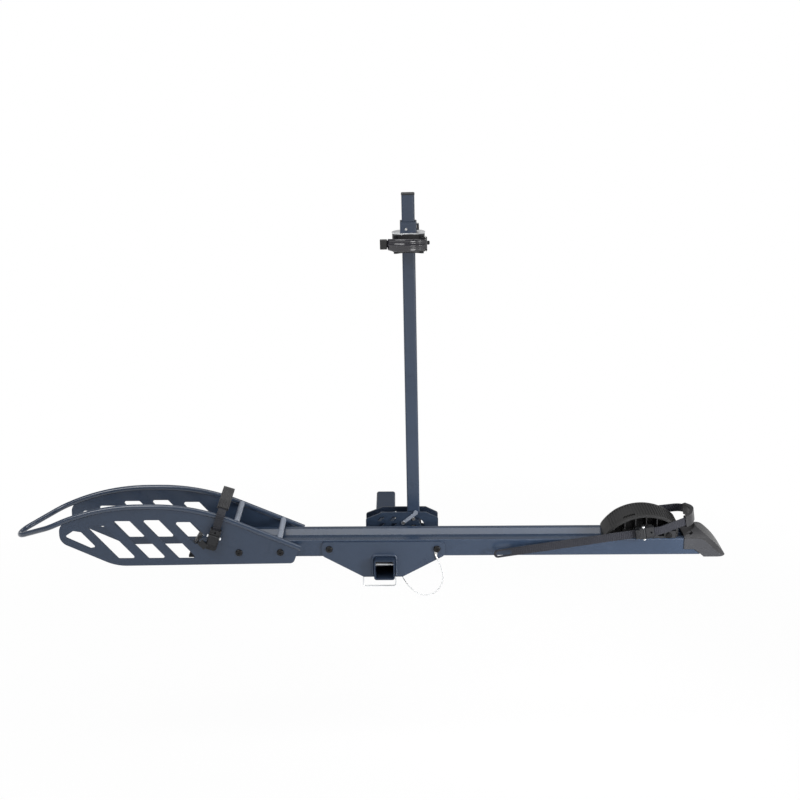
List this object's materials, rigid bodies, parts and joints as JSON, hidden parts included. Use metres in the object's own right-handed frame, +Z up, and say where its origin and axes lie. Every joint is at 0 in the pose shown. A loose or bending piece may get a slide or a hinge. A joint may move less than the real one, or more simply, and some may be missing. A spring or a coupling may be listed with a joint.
{
  "type": "hitch bike rack",
  "caption": "Hitch-mounted carrier for one bicycle: tray with front wheel hoop, sliding rear chock, folding mast with frame clamp, and an open receiver at the outer end.",
  "frame": {"origin": "centre of the hitch pin hole, on the axis of the square spine tube", "axes": "+X along the tray from the front wheel hoop to the rear ramp, +Y towards the vehicle along the spine tube, +Z up"},
  "size_m": [1.739, 0.5406, 0.9639],
  "materials": {
    "slate_coat": "fine satin powder coat, slate blue",
    "black_steel": "black coated fasteners",
    "bright_zinc": "bright zinc plate, slightly brushed",
    "zinc_steel": "zinc plated steel",
    "black_nylon": "moulded black nylon, fine grain",
    "gloss_black": "glossy black moulding",
    "strap_grey": "ribbed dark grey strap",
    "black_rubber": "soft black rubber",
    "grey_cable": "plastic coated steel cable"
  },
  "bodies": {
    "rack": {"spine_tube": "slate_coat", "spine_plug": "black_nylon", "saddle_plate_near": "slate_coat", "saddle_plate_far": "slate_coat", "saddle_bolts": "black_steel", "saddle_nuts": "black_steel", "tray_channel": "slate_coat", "tray_end_cap": "black_nylon", "ramp_dome": "black_nylon", "ramp_skirt": "black_nylon", "ramp_screws": "black_steel", "wheel_hoop": "slate_coat", "wheel_plate_near": "slate_coat", "wheel_plate_far": "slate_coat", "cross_bars": "slate_coat", "plate_spacers": "black_steel", "plate_bolts": "black_steel", "plate_nuts": "black_steel", "front_strap": "strap_grey", "front_sleeve": "black_rubber", "front_buckle": "black_nylon", "front_lever_pin": "bright_zinc", "front_anchors": "black_steel", "mast_plate_near": "slate_coat", "mast_plate_far": "slate_coat", "bracket_spacers": "slate_coat", "mast_pivot_bolt": "black_steel", "mast_pivot_nut": "black_steel", "lever_rivet": "zinc_steel", "accessory_pin": "bright_zinc", "lanyard": "grey_cable", "lanyard_eyes": "zinc_steel"},
    "mast": {"mast_tube": "slate_coat", "mast_cap": "black_nylon", "mast_bush": "zinc_steel", "mast_washers": "black_nylon", "mast_lock_pin": "zinc_steel"},
    "carriage": {"collar": "slate_coat", "collar_liner": "black_nylon", "latch_pin": "zinc_steel", "clamp_ring": "bright_zinc", "clamp_cradle": "black_nylon", "cradle_pad": "black_rubber", "frame_strap": "strap_grey", "frame_block": "black_nylon", "frame_lever_pin": "zinc_steel"},
    "latch": {"collar_latch": "gloss_black"},
    "frame_tightener": {"frame_lever": "gloss_black"},
    "front_ratchet": {"front_lever": "black_nylon"},
    "rear_ratchet": {"rear_lever": "black_nylon"},
    "wheel_chock": {"chock": "black_nylon", "chock_clamp": "black_nylon", "chock_screw": "black_steel", "rear_strap": "strap_grey", "rear_sleeve": "black_rubber", "rear_buckle": "black_nylon", "rear_lever_pin": "bright_zinc", "rear_anchor": "black_steel"},
    "bail": {"pin_bail": "bright_zinc"},
    "lock": {"mast_lock_lever": "bright_zinc"}
  },
  "joints": [
    {"name": "mast_fold", "type": "hinge", "parent": "rack", "child": "mast", "pos_m": [0.073, -0.249, 0.0434], "axis": [0, 1, 0], "range_deg": [0, 90]},
    {"name": "carriage_slide", "type": "slide", "parent": "mast", "child": "carriage", "axis": [-0.014, 0, 0.9999], "range_m": [-0.6, 0.06]},
    {"name": "collar_latch_swing", "type": "hinge", "parent": "carriage", "child": "latch", "pos_m": [0.08556, -0.249, 0.80765], "axis": [-0.014, 0, 0.9999], "range_deg": [0, 100]},
    {"name": "frame_lever_swing", "type": "hinge", "parent": "carriage", "child": "frame_tightener", "pos_m": [0.10282, -0.294, 0.77289], "axis": [-0.014, 0, 0.9999], "range_deg": [0, 95]},
    {"name": "front_lever_swing", "type": "hinge", "parent": "rack", "child": "front_ratchet", "pos_m": [-0.40968, -0.4667, 0.09253], "axis": [-0.9511, 0, 0.309], "range_deg": [0, 60]},
    {"name": "chock_slide", "type": "slide", "parent": "rack", "child": "wheel_chock", "axis": [1, 0, 0], "range_m": [-0.3, 0]},
    {"name": "rear_lever_swing", "type": "hinge", "parent": "wheel_chock", "child": "rear_ratchet", "pos_m": [0.6279, -0.4487, 0.08984], "axis": [-0.1374, 0, 0.9905], "range_deg": [0, 60]},
    {"name": "bail_swing", "type": "hinge", "parent": "rack", "child": "bail", "pos_m": [-0.052, -0.412, 0], "axis": [0, 1, 0], "range_deg": [0, 90]},
    {"name": "lock_lever_swing", "type": "hinge", "parent": "rack", "child": "lock", "pos_m": [0.0465, -0.275, 0.0574], "axis": [0, -1, 0], "range_deg": [0, 35]}
  ]
}
